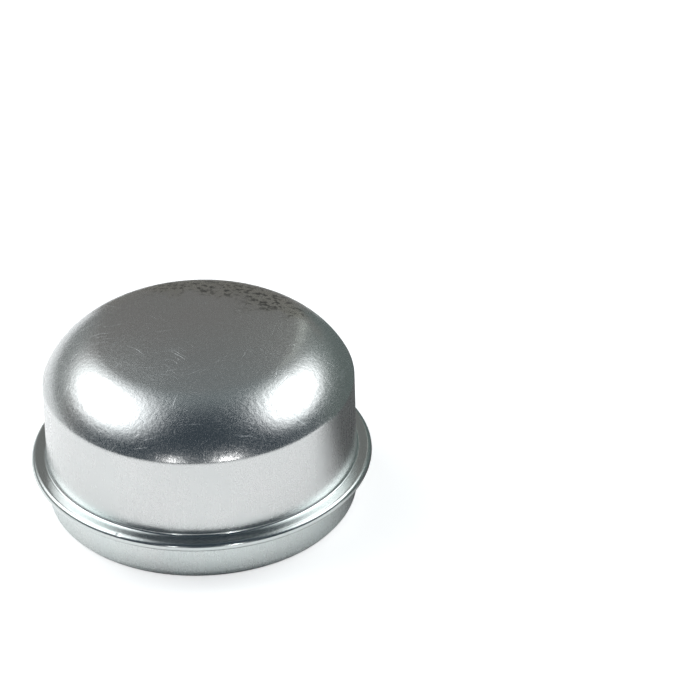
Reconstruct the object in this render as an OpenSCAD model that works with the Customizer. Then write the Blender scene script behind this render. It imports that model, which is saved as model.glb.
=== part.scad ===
/*
Hub grease cap: a cup pressed from one piece of zinc plated sheet steel.
It is driven into the bore of a wheel hub, mouth first, until its collar stops
against the hub's end face, and it keeps the grease in over the bearing and nut.
The section below is drawn once and turned about the axis. +Z runs along the
axis towards the domed top, and the cap stands on its cut rim at z = 0.
*/

/* [Sheet] */
// Thickness of the steel sheet
sheet_t = 0.9; // [0.6:0.05:1.2]

/* [Press fit skirt] */
// Outer diameter of the skirt that is driven into the hub's bore
skirt_od = 62; // [40:0.1:80]
// Depth that goes into the hub, from the cut rim to the underside of the collar
skirt_len = 8.3; // [7:0.1:14]
// How far the rim is turned in to find the bore
mouth_in = 0.9; // [0.4:0.1:1.2]
// Angle of the turned-in rim to the axis
mouth_angle = 40; // [25:1:45]
// Outer radius of the bend where the rim turns in
mouth_bend_r = 1.5; // [1.3:0.1:2.5]

/* [Stop collar] */
// How far the folded collar stands out from the wall
collar_out = 3.05; // [2.8:0.05:5]
// Gap that is left inside the fold where the two layers are pressed together
fold_gap = 0.15; // [0.05:0.05:0.3]
// Radius outside, where the wall and the skirt run out into the collar
root_r = 0.6; // [0.3:0.1:1.6]
// Radius inside, on the two lips of the fold
lip_r = 1.5; // [1:0.1:2.2]

/* [Wall] */
// How much larger the wall is than the skirt, on the radius
wall_step = 0.15; // [0:0.05:0.4]
// Height of the wall, from the top of the collar to the shoulder line
wall_h = 17; // [8:0.5:30]

/* [Domed top] */
// Angle to the axis at which the shoulder leaves the wall
shoulder_angle = 23.5; // [12:0.5:35]
// Radius of the shoulder
shoulder_r = 16; // [8:0.5:18]
// Radius that softens the shoulder line
edge_r = 2; // [1.4:0.1:4]
// Radius of the crown
crown_r = 120; // [80:1:140]

/* [Hidden] */
$fn = 180;

// Radii and heights of the outer face
skirt_rad = skirt_od / 2;
wall_rad = skirt_rad + wall_step;
collar_rad = wall_rad + collar_out;
fold_half = sheet_t + fold_gap / 2;
fold_z = skirt_len + fold_half;
collar_top = fold_z + fold_half;
line_z = collar_top + wall_h;

// Centres of the shoulder's, the softened edge's and the crown's arcs
shoulder_x = wall_rad - shoulder_r * cos(shoulder_angle);
shoulder_z = line_z - shoulder_r * sin(shoulder_angle);
edge_x = wall_rad - edge_r;
edge_z = shoulder_z + sqrt(pow(shoulder_r - edge_r, 2) - pow(edge_x - shoulder_x, 2));
crown_z = shoulder_z - sqrt(pow(crown_r - shoulder_r, 2) - pow(shoulder_x, 2));

// Directions in which the arcs run into each other
edge_dir = atan2(edge_z - shoulder_z, edge_x - shoulder_x);
crown_dir = atan2(shoulder_z - crown_z, shoulder_x);
cap_h = crown_z + crown_r;

// Bend of the turned-in rim
bend_x = skirt_rad - mouth_bend_r;
bend_z = mouth_in / tan(mouth_angle) + mouth_bend_r * tan(mouth_angle / 2);

// How far the flatter of two tangent pieces dips into the tighter one, so that no step is left
dip = 0.0005;

// Slice of a disc, from direction a to direction b
module slice(x, z, r, a, b) {
    translate([x, z]) intersection() {
        circle(r);
        polygon([[0, 0], 2 * r * [cos(a), sin(a)], 2 * r * [cos(b), sin(b)]]);
    }
}

// Corner between a wall at x and a face at z, filled up to a hollow arc of radius r
module corner(x, z, r, up) {
    difference() {
        translate([x, up ? z : z - r]) square(r);
        translate([x + r, up ? z + r : z - r]) circle(r);
    }
}

// Half outline of the wall and the domed top, filled to the axis and set in by inset
module body_outline(inset) {
    intersection() {
        translate([0, fold_z]) square([wall_rad, cap_h]);
        union() {
            polygon([
                [0, fold_z], [wall_rad - inset, fold_z], [wall_rad - inset, edge_z], [edge_x, edge_z],
                [shoulder_x, shoulder_z + shoulder_r / 2], [0, shoulder_z + shoulder_r / 2]
            ]);
            translate([edge_x, edge_z]) circle(edge_r - inset);
            slice(shoulder_x, shoulder_z, shoulder_r - inset - dip, edge_dir, 90);
            slice(0, crown_z, crown_r - inset - 2 * dip, crown_dir, 100);
        }
    }
}

// Half outline of the skirt with its turned-in rim, filled to the axis and set in by inset
module skirt_outline(inset) {
    bend = mouth_bend_r - inset;
    tip = [bend_x, bend_z] + (bend - dip) * [cos(mouth_angle), -sin(mouth_angle)];
    foot = tip - tip[1] * [tan(mouth_angle), 1];
    polygon([[0, 0], foot, tip, [bend_x, bend_z], [skirt_rad - inset, bend_z],
        [skirt_rad - inset, fold_z], [0, fold_z]]);
    translate([bend_x, bend_z]) circle(bend);
}

// Half section of the whole cap, in one thickness of sheet from the crown to the rim
module section() {
    difference() {
        union() {
            body_outline(0);
            skirt_outline(0);
            translate([0, skirt_len]) square([collar_rad - fold_half, 2 * fold_half]);
            translate([collar_rad - fold_half, fold_z]) circle(fold_half);
            corner(wall_rad, collar_top, root_r, true);
            corner(skirt_rad, skirt_len, root_r, false);
        }
        body_outline(sheet_t);
        skirt_outline(sheet_t);
        translate([0, fold_z - fold_gap / 2]) square([collar_rad - fold_half, fold_gap]);
        translate([collar_rad - fold_half, fold_z]) circle(fold_gap / 2);
        corner(wall_rad - sheet_t, fold_z + fold_gap / 2, lip_r, true);
        corner(skirt_rad - sheet_t, fold_z - fold_gap / 2, lip_r, false);
    }
}

module cap_shell() {
    color("silver") rotate_extrude() section();
}

cap_shell();
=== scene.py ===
"""Hub grease cap: a domed cup of zinc plated sheet steel, standing on its open rim on a pale studio floor."""
import math

import bmesh
import bpy
from mathutils import Matrix


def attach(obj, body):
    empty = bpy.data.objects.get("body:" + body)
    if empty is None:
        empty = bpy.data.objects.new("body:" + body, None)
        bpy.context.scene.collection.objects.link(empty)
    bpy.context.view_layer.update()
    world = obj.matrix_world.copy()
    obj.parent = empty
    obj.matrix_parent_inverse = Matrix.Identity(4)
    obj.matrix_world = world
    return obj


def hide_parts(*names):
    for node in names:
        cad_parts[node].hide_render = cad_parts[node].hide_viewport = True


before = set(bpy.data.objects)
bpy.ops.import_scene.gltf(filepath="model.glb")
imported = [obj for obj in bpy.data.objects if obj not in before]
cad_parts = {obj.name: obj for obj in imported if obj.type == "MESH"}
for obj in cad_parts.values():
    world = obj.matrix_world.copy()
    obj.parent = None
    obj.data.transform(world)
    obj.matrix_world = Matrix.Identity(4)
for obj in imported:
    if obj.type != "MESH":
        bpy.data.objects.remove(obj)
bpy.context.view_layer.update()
scene = bpy.context.scene
scene.view_settings.view_transform = "Standard"


# The cap's shell: one sheet of steel, pressed into a cup, folded out and back into a stop collar,
# turned in a little at the mouth and cut flat. It is plated with bright zinc. Its skirt is driven
# into the hub's bore until the collar stops it.
mm = 0.001
sheet = 0.9 * mm
skirt_r = 31.0 * mm
wall_r = 31.15 * mm
collar_r = 34.2 * mm
skirt_len = 8.3 * mm
fold_gap = 0.15 * mm
root_r = 0.6 * mm
lip_r = 1.5 * mm
wall_h = 17.0 * mm
mouth_in = 0.9 * mm
mouth_slope = math.radians(40)
mouth_bend = 1.5 * mm
shoulder_lean = math.radians(23.5)
shoulder_r = 16.0 * mm
edge_r = 2.0 * mm
crown_r = 120.0 * mm
rim_break = 0.12 * mm
flat_hold = 0.25 * mm
turned_steps = 224
quarter = math.pi / 2

fold_half = sheet + fold_gap / 2
fold_z = skirt_len + fold_half
collar_top = fold_z + fold_half
line_z = collar_top + wall_h
shoulder_x = wall_r - shoulder_r * math.cos(shoulder_lean)
shoulder_z = line_z - shoulder_r * math.sin(shoulder_lean)
edge_x = wall_r - edge_r
edge_z = shoulder_z + math.sqrt((shoulder_r - edge_r) ** 2 - (edge_x - shoulder_x) ** 2)
crown_z = shoulder_z - math.sqrt((crown_r - shoulder_r) ** 2 - shoulder_x ** 2)
edge_turn = math.atan2(edge_z - shoulder_z, edge_x - shoulder_x)
crown_turn = quarter - math.atan2(shoulder_z - crown_z, shoulder_x)
shoulder_turn = quarter - crown_turn - edge_turn
bend_x = skirt_r - mouth_bend
bend_z = mouth_in / math.tan(mouth_slope) + mouth_bend * math.tan(mouth_slope / 2)

cap_mesh = bmesh.new()
pen = [cap_mesh.verts.new((0, 0, crown_z + crown_r))]


def arc(x, z, turn, step):
    """Carries the section on along an arc round (x, z), clockwise where turn is positive.

    turn is in radians. step is in degrees, and is about what one edge of the arc turns.
    """
    steps = max(2, math.ceil(abs(turn) / math.radians(step)))
    made = bmesh.ops.spin(cap_mesh, geom=[pen[-1]], cent=(x, 0, z), axis=(0, 1, 0), angle=turn, steps=steps)
    pen.append(made["geom_last"][0])


def line(x, z):
    """Carries the section on along a line, with a point close to each end to hold the shading flat."""
    start = pen[-1].co.copy()
    length = math.hypot(x - start.x, z - start.z)
    hold = min(flat_hold, length / 4)
    for share in (hold / length, 1 - hold / length, 1):
        vert = cap_mesh.verts.new((start.x + (x - start.x) * share, 0, start.z + (z - start.z) * share))
        cap_mesh.edges.new((pen[-1], vert))
        pen.append(vert)


def finished(name, shape):
    """Makes a bmesh into an object of the scene, and lets the bmesh go."""
    data = bpy.data.meshes.new(name)
    shape.to_mesh(data)
    shape.free()
    made = bpy.data.objects.new(name, data)
    scene.collection.objects.link(made)
    return made


# Outside, from the top of the dome down to the rim
arc(0, crown_z, crown_turn, 1.4)
arc(shoulder_x, shoulder_z, shoulder_turn, 2.2)
arc(edge_x, edge_z, edge_turn, 2.5)
line(wall_r, collar_top + root_r)
arc(wall_r + root_r, collar_top + root_r, -quarter, 7)
line(collar_r - fold_half, collar_top)
arc(collar_r - fold_half, fold_z, math.pi, 9)
line(skirt_r + root_r, skirt_len)
arc(skirt_r + root_r, skirt_len - root_r, -quarter, 7)
line(skirt_r, bend_z)
arc(bend_x, bend_z, mouth_slope, 5)
line(skirt_r - mouth_in, 0)
outer_corner = pen[-1]

# Inside, from the rim up to the dome, one thickness of sheet behind the outside
inner_bend = mouth_bend - sheet
tip_x = bend_x + inner_bend * math.cos(mouth_slope)
tip_z = bend_z - inner_bend * math.sin(mouth_slope)
line(tip_x - tip_z * math.tan(mouth_slope), 0)
inner_corner = pen[-1]
line(tip_x, tip_z)
arc(bend_x, bend_z, -mouth_slope, 8)
line(skirt_r - sheet, fold_z - fold_gap / 2 - lip_r)
arc(skirt_r - sheet + lip_r, fold_z - fold_gap / 2 - lip_r, quarter, 7)
line(collar_r - fold_half, fold_z - fold_gap / 2)
arc(collar_r - fold_half, fold_z, -math.pi, 30)
line(wall_r - sheet + lip_r, fold_z + fold_gap / 2)
arc(wall_r - sheet + lip_r, fold_z + fold_gap / 2 + lip_r, quarter, 7)
line(wall_r - sheet, edge_z)
arc(edge_x, edge_z, -edge_turn, 4)
arc(shoulder_x, shoulder_z, -shoulder_turn, 3)
arc(0, crown_z, -crown_turn, 2)

bmesh.ops.bevel(cap_mesh, geom=[outer_corner, inner_corner], affect="VERTICES", offset=rim_break,
                segments=3, profile=0.5, material=-1)
bmesh.ops.spin(cap_mesh, geom=cap_mesh.verts[:] + cap_mesh.edges[:], cent=(0, 0, 0), axis=(0, 0, 1),
               angle=math.tau, steps=turned_steps, use_merge=True)
bmesh.ops.remove_doubles(cap_mesh, verts=cap_mesh.verts, dist=0.001 * mm)
bmesh.ops.recalc_face_normals(cap_mesh, faces=cap_mesh.faces)
cap = finished("cap_shell_formed", cap_mesh)
for face in cap.data.polygons:
    face.use_smooth = True


class Shade:
    """A shader socket in arithmetic, such as 1 - a * b.

    node() adds any other node, and get() adds one and gives one of its outputs.
    """

    def __init__(self, tree, socket=None):
        self.tree = tree
        self.socket = socket

    def node(self, kind, settings=None, sockets=None):
        made = self.tree.nodes.new("ShaderNode" + kind)
        for name, value in (settings or {}).items():
            setattr(made, name, value)
        for name, value in (sockets or {}).items():
            if isinstance(value, Shade):
                self.tree.links.new(value.socket, made.inputs[name])
            else:
                made.inputs[name].default_value = value
        return made

    def get(self, kind, settings=None, sockets=None, output=0):
        return Shade(self.tree, self.node(kind, settings, sockets).outputs[output])

    def math(self, operation, *values):
        return self.get("Math", {"operation": operation}, dict(enumerate(values)))

    def clamp(self):
        return self.get("Math", {"operation": "ADD", "use_clamp": True}, {0: self, 1: 0.0})

    def __add__(self, other):
        return self.math("ADD", self, other)

    def __sub__(self, other):
        return self.math("SUBTRACT", self, other)

    def __mul__(self, other):
        return self.math("MULTIPLY", self, other)

    def __gt__(self, other):
        return self.math("GREATER_THAN", self, other)

    def __lt__(self, other):
        return self.math("LESS_THAN", self, other)

    def __radd__(self, other):
        return self.math("ADD", other, self)

    def __rsub__(self, other):
        return self.math("SUBTRACT", other, self)

    def __rmul__(self, other):
        return self.math("MULTIPLY", other, self)


def blank(owner):
    """Empties the node tree of a material, a lamp or the world, and gives the start of a new one."""
    owner.use_nodes = True
    owner.node_tree.nodes.clear()
    return Shade(owner.node_tree)


def split(vector):
    """The X, the Y and the Z of a vector."""
    parts = vector.node("SeparateXYZ", None, {0: vector})
    return [Shade(vector.tree, parts.outputs[axis]) for axis in "XYZ"]


def noise(where, cells, detail, roughness=0.5, distortion=0.0, output=0):
    """Noise at a place, with so many cells to the metre."""
    return where.get("TexNoise", None, {"Vector": where, "Scale": cells, "Detail": detail,
                                        "Roughness": roughness, "Distortion": distortion}, output)


def band(value, start, end):
    """Runs straight from 0, where value is start, to 1, where it is end."""
    return value.get("MapRange", None, {"Value": value, "From Min": start, "From Max": end})


def ramp(value, start, end, bottom=0.0, top=1.0):
    """Runs smoothly from bottom, where value is start, to top, where it is end."""
    return value.get("MapRange", {"interpolation_type": "SMOOTHSTEP"},
                     {"Value": value, "From Min": start, "From Max": end, "To Min": bottom, "To Max": top})


def distance(where, x, y, z):
    """How far a place is from x, y and z, which are in millimetres."""
    return where.get("VectorMath", {"operation": "DISTANCE"}, {0: where, 1: (x * mm, y * mm, z * mm)},
                     output="Value")


def mixed(share, below, above):
    """Colour that runs from below, where share is 0, to above, where it is 1."""
    return share.get("Mix", {"data_type": "RGBA"}, {0: share, 6: below, 7: above}, output=2)


def stronger(first, second):
    """The larger of two values, or the second alone where nothing comes before it."""
    return second if first is None else second.math("MAXIMUM", first, second)


zinc = bpy.data.materials.new("zinc_plate")
plating = blank(zinc)
place = plating.get("TexCoord", output="Object")
across, along, height = split(place)
upward = split(plating.get("TexCoord", output="Normal"))[2] > 0.0

# Crystals of the plating: fine ones that are duller than the rest give the haze round a reflection,
# and coarser ones lean a little, each its own way
warm_zinc = (0.664, 0.656, 0.652, 1)
cool_zinc = (0.642, 0.650, 0.642, 1)
speck = band(noise(place, 4200.0, 1.0), 0.46, 0.62)
grain = noise(place, 1300.0, 2.0)
patch = band(noise(place, 70.0, 5.0, 0.6), 0.35, 0.65)
plate = mixed(patch, warm_zinc, cool_zinc)

# Handling scratches on the dome: sets of slightly bent hairlines, each at its own angle, in rubbed
# patches. The seed puts each set at a place of its own in the noise.
scratched = (0.84, 0.87, 0.89, 1)
waver = 3.0 * mm
bent = plating.get("VectorMath", {"operation": "MULTIPLY_ADD"},
                   {0: noise(place, 130.0, 1.0, output="Color"), 1: (waver, waver, waver), 2: place})
scratch = None
for angle, seed in ((0.35, 0.0), (0.95, 5.2), (1.60, 3.7), (2.45, 8.1)):
    turned = plating.get("Mapping", None, {"Vector": bent, "Rotation": (0.0, 0.0, angle),
                                           "Location": (seed, 0.0, 0.0)})
    drawn = plating.get("Mapping", None, {"Vector": turned, "Scale": (3600.0, 70.0, 300.0)})
    hair = band(noise(drawn, 1.0, 1.0, 0.4), 0.66, 0.76)
    rubbed = band(noise(turned, 150.0, 3.0), 0.50, 0.66)
    scratch = stronger(scratch, hair * rubbed)
scratch = scratch * upward * (height > 26.0 * mm)
plate = mixed(scratch * 0.45, plate, scratched)

# Olive smudge of old grease with dark specks, at the back and the right of the crown. It is made of
# round parts with a ragged edge, given by their place and their reach in millimetres.
olive = (0.46, 0.44, 0.35, 1)
grease = (0.04, 0.04, 0.035, 1)
fray = 12.0 * mm
level = plating.get("CombineXYZ", None, {0: across, 1: along, 2: 0.0})
ragged = noise(place, 190.0, 4.0, 0.6)
smear = None
for x, y, reach in ((-6.0, 20.5, 7.0), (1.5, 21.0, 7.0), (8.0, 18.5, 8.0), (14.5, 13.5, 8.0),
                    (18.5, 10.5, 5.0)):
    away = distance(level, x, y, 0.0) - fray * (ragged - 0.5)
    smear = stronger(smear, ramp(away, reach * mm, 0.3 * reach * mm))
smear = smear * upward * (height > 30.0 * mm)
blot = smear * band(noise(place, 850.0, 3.0, 0.6, 0.4), 0.51, 0.58)
plate = mixed(smear * 0.5, plate, olive)
plate = mixed(blot * 0.95, plate, grease)

# Blue-green passivation, strongest on the collar and under it
passivated = (0.585, 0.655, 0.640, 1)
film = ramp(height, 14.0 * mm, 9.0 * mm)
plate = mixed(film * (0.35 + 0.3 * patch), plate, passivated)

# Nicks on the front of the collar, from a mallet, given by their place and their reach in millimetres
dent = None
for x, y, z, reach in ((-16.3, -29.6, 10.2, 0.8), (-7.8, -31.4, 10.2, 0.6)):
    dent = stronger(dent, ramp(distance(place, x, y, z), reach * mm, 0.0))

# The drawing die smoothed the wall and the skirt, and left fine upright marks on them
upright = plating.get("Mapping", None, {"Vector": place, "Scale": (2600.0, 2600.0, 60.0)})
die_mark = (height < 27.0 * mm) * band(noise(upright, 1.0, 2.0), 0.45, 0.75)
smoothed = ramp(height, 29.5 * mm, 26.5 * mm)

# The collar is burnished, where it has rubbed on others
rub_z = 9.3 * mm
burnished = ramp(plating.math("ABSOLUTE", height - rub_z), 3.0 * mm, 1.2 * mm)
rough = (0.175 + 0.11 * (1.0 - 0.7 * smoothed) * speck + 0.03 * patch + 0.04 * grain + 0.12 * scratch
         + 0.03 * die_mark + 0.04 * smear + 0.055 * smoothed - 0.10 * burnished).clamp()
relief = (1.0 - 0.6 * smoothed) * grain - 0.5 * scratch - 1.5 * dent
bump = plating.get("Bump", None, {"Strength": 1.0, "Distance": 0.034 * mm, "Height": relief})
bright_plate = plating.get("BsdfPrincipled", None, {"Base Color": plate, "Metallic": 1.0, "Roughness": rough,
                                                    "Normal": bump, "Coat Weight": 1.0,
                                                    "Coat Roughness": 0.40, "Coat IOR": 1.7})
plating.node("OutputMaterial", None, {"Surface": bright_plate})
cap.data.materials.append(zinc)

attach(cap, "root")
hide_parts("cap_shell")


# Floor of the studio: a wide round of matt white paper, a hair below the rim, and clear from below.
# The camera sees it lifted to white, with the cap's shadow on it. The metal sees it lifted less.
floor_r = 12.0
floor_drop = 0.1 * mm
floor_mesh = bmesh.new()
bmesh.ops.create_circle(floor_mesh, cap_ends=True, radius=floor_r, segments=96)
bmesh.ops.translate(floor_mesh, verts=floor_mesh.verts, vec=(0, 0, -floor_drop))
floor = finished("floor", floor_mesh)

paper = bpy.data.materials.new("floor_paper")
fibre = blank(paper)
ray = fibre.node("LightPath")
camera_ray = Shade(fibre.tree, ray.outputs["Is Camera Ray"])
glossy_ray = Shade(fibre.tree, ray.outputs["Is Glossy Ray"])
clear_ray = Shade(fibre.tree, ray.outputs["Is Transmission Ray"])
spot = fibre.get("TexCoord", output="Object")
away = fibre.get("VectorMath", {"operation": "LENGTH"}, {0: spot}, output="Value")
across, along = split(spot)[:2]

# What the metal sees: paper with painted shade on it under the wall, far away and at the right, and a painted
# pool of light close by at the left
painted_floor_shade = ramp(along, -24 * mm, 6 * mm) * ramp(across, 8 * mm, 30 * mm) * ramp(away, 120 * mm, 80 * mm)
painted_floor_light = (0.10 * ramp(across, -24 * mm, -42 * mm) * ramp(away, 90 * mm, 60 * mm)
          + 0.28 * ramp(across, -8 * mm, -28 * mm) * ramp(away, 48 * mm, 36 * mm))
# Painted shade round the rim: the glow that the metal sees falls to nothing in a ring just round the rim, and
# glows again as painted light inside the rim, under the cap
glow_with_painted_rim_shade = ramp(away, 30 * mm, 40 * mm) + ramp(away, 28 * mm, 20 * mm)
lift = glow_with_painted_rim_shade * ramp(away, 80 * mm, 260 * mm, 0.47, 0.20) * (1.0 - 0.92 * painted_floor_shade) + painted_floor_light
white = ramp(away, 250 * mm, 1400 * mm, 0.62, 1.0)
seen = glossy_ray * lift + white * (camera_ray + clear_ray)
tone = 0.8 - 0.7 * glossy_ray * painted_floor_shade
matt = fibre.get("BsdfPrincipled", None, {"Base Color": tone, "Roughness": 1.0, "Specular IOR Level": 0.0,
                                          "Emission Color": seen, "Emission Strength": 1.0})
from_below = fibre.get("NewGeometry", output="Backfacing")
face_up = fibre.get("MixShader", None, {0: from_below, 1: matt, 2: fibre.get("BsdfTransparent")})
fibre.node("OutputMaterial", None, {"Surface": face_up})
floor.data.materials.append(paper)


# Two soft boxes, left and right above the cap, of white cloth over a lamp that is brightest in the
# middle. Each hangs clear of the frame and is turned to the cap.
cloth_dark = (0, 0, 0, 1)
cloth_white = (0.95, 0.985, 1, 1)
cloth_glow = 2.9
for name, stand, turn, wide, tall, watts in (("left_box", (-0.52, 0.13, 0.57), -5, 1.06, 1.58, 6.6),
                                             ("right_box", (0.55, 0.13, 0.57), 15, 0.92, 1.38, 5.2)):
    lamp = bpy.data.lights.new(name, "AREA")
    lamp.shape = "RECTANGLE"
    lamp.size = wide
    lamp.size_y = tall
    lamp.energy = watts
    cloth = blank(lamp)
    side, up = ((part - 0.5) * 2.0 for part in split(cloth.get("NewGeometry", output="Parametric"))[:2])
    middle = (1.0 - side * side - up * up).clamp()
    glow = mixed(middle * middle * middle, cloth_dark, cloth_white)
    cloth.node("OutputLight", None,
               {"Surface": cloth.get("Emission", None, {"Color": glow, "Strength": cloth_glow})})
    box = bpy.data.objects.new(name, lamp)
    scene.collection.objects.link(box)
    box.location = stand
    lean = -math.asin(stand[1] / math.hypot(*stand))
    box.rotation_mode = "ZXY"
    box.rotation_euler = (lean, math.atan2(stand[0], stand[2]), math.radians(turn))
    box.visible_camera = False


# Two small low lamps in front of the cap, turned to its foot. They put the bright points on the
# shoulder line.
low_tall = 0.055
for name, stand, wide, watts in (("low_left", (-0.24, -0.73, 0.22), 0.035, 0.18),
                                 ("low_right", (0.25, -0.72, 0.21), 0.085, 0.36)):
    lamp = bpy.data.lights.new(name, "AREA")
    lamp.shape = "ELLIPSE"
    lamp.size = wide
    lamp.size_y = low_tall
    lamp.energy = watts
    low_lamp = bpy.data.objects.new(name, lamp)
    scene.collection.objects.link(low_lamp)
    low_lamp.location = stand
    low_lamp.rotation_euler = low_lamp.location.to_track_quat("Z", "Y").to_euler()
    low_lamp.visible_camera = False


# Cards that stand on the floor round the back of the cap: two dark ones and a narrow light one. Each is
# turned about the cap's axis. Only the metal sees them.
card_lift = 0.2 * mm
for name, turn, near, wide, tall, grey in (("back_card", -8, 0.110, 0.12, 0.06, (0.185, 0.182, 0.172, 1)),
                                           ("right_card", -60, 0.075, 0.11, 0.04, (0.12, 0.15, 0.145, 1)),
                                           ("strip_card", -25, 0.150, 0.009, 0.19, (0.75, 0.80, 0.75, 1))):
    card_mesh = bmesh.new()
    bmesh.ops.create_grid(card_mesh, x_segments=1, y_segments=1, size=0.5)
    bmesh.ops.scale(card_mesh, verts=card_mesh.verts, vec=(wide, tall, 1))
    bmesh.ops.translate(card_mesh, verts=card_mesh.verts, vec=(0, tall / 2, 0))
    bmesh.ops.rotate(card_mesh, verts=card_mesh.verts, cent=(0, 0, 0),
                     matrix=Matrix.Rotation(quarter, 3, "X"))
    bmesh.ops.translate(card_mesh, verts=card_mesh.verts, vec=(0, near, card_lift))
    bmesh.ops.rotate(card_mesh, verts=card_mesh.verts, cent=(0, 0, 0),
                     matrix=Matrix.Rotation(math.radians(turn), 3, "Z"))
    card = finished(name, card_mesh)
    felt = bpy.data.materials.new(name)
    nap = blank(felt)
    nap.node("OutputMaterial", None, {"Surface": nap.get("Emission", None, {"Color": grey})})
    card.data.materials.append(felt)
    card.visible_camera = False
    card.visible_diffuse = False
    card.visible_shadow = False


# The room round the stage: dim in front, grey at the back, greener at the right and bluer overhead,
# with a soft window at the back left. The camera sees it white.
front_grey = (0.031, 0.048, 0.064, 1)
back_grey = (0.190, 0.188, 0.182, 1)
top_grey = (0.165, 0.200, 0.210, 1)
right_grey = (0.150, 0.185, 0.178, 1)
window_grey = (0.23, 0.25, 0.25, 1)
camera_white = (1, 1, 1, 1)
world = bpy.data.worlds.new("studio")
scene.world = world
air = blank(world)
rightward, backward, overhead = split(air.get("TexCoord", output="Generated"))
room = mixed(ramp(overhead, 0.5, 0.95), back_grey, top_grey)
room = mixed(ramp(rightward, 0.15, 0.5), room, right_grey)
room = mixed(ramp(backward, -0.30, 0.55), front_grey, room)
room = mixed(ramp(-0.64 * rightward + 0.77 * backward, 0.82, 0.96), room, window_grey)
room = mixed(air.get("LightPath", output="Is Camera Ray"), room, camera_white)
air.node("OutputWorld", None, {"Surface": air.get("Background", None, {"Color": room, "Strength": 1.0})})


# Camera: a long lens, 1.2 m from the cap and above it, with the cap at the left of the frame as in the
# photograph.
view = bpy.data.cameras.new("camera")
view.lens = 308.6
view.sensor_width = 36.0
view.clip_end = 50.0
camera = bpy.data.objects.new("camera", view)
scene.collection.objects.link(camera)
camera.location = (0.03036, -1.00008, 0.68403)
camera.rotation_euler = (math.radians(56.911), math.radians(1.393), math.radians(-0.908))
scene.camera = camera
